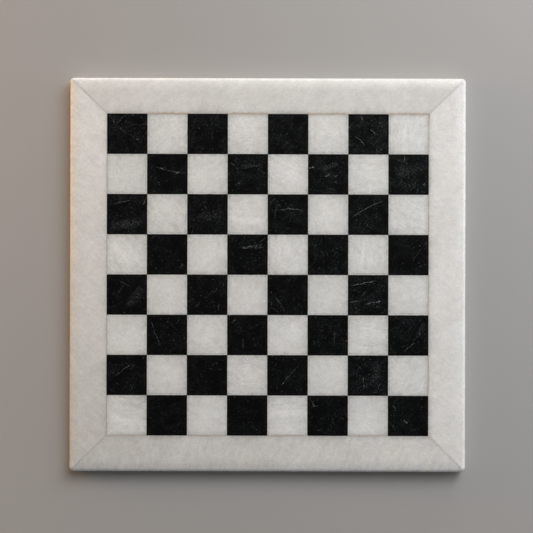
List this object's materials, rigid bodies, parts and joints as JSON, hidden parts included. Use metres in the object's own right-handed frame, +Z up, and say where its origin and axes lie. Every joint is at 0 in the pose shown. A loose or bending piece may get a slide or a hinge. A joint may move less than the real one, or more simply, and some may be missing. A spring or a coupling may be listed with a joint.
{
  "type": "chessboard",
  "caption": "Square inlaid stone chessboard: dark and white tiles set flush in a mitred white border with a rounded edge, felt under.",
  "frame": {"origin": "centre of the underside, where the felt rests on the table", "axes": "+Z up out of the playing face; +X from White's side to Black's; +Y from the h-file to the a-file"},
  "size_m": [0.3808, 0.3786, 0.0155],
  "materials": {
    "border_stone": "polished",
    "light_stone": "polished",
    "dark_stone": "polished",
    "joint_resin": "satin",
    "bedding_resin": "matte",
    "core_stone": "sawn",
    "felt": "felt"
  },
  "bodies": {
    "root": {"border_strip_white_side": "border_stone", "border_strip_black_side": "border_stone", "border_strip_queenside": "border_stone", "border_strip_kingside": "border_stone", "mitre_joint_resin": "joint_resin", "tile_joint_resin": "joint_resin", "bedding_resin": "bedding_resin", "core_slab": "core_stone", "felt_sheet": "felt", "dark_tiles_rank_1": "dark_stone", "light_tiles_rank_1": "light_stone", "dark_tiles_rank_2": "dark_stone", "light_tiles_rank_2": "light_stone", "dark_tiles_rank_3": "dark_stone", "light_tiles_rank_3": "light_stone", "dark_tiles_rank_4": "dark_stone", "light_tiles_rank_4": "light_stone", "dark_tiles_rank_5": "dark_stone", "light_tiles_rank_5": "light_stone", "dark_tiles_rank_6": "dark_stone", "light_tiles_rank_6": "light_stone", "dark_tiles_rank_7": "dark_stone", "light_tiles_rank_7": "light_stone", "dark_tiles_rank_8": "dark_stone", "light_tiles_rank_8": "light_stone"}
  },
  "joints": []
}
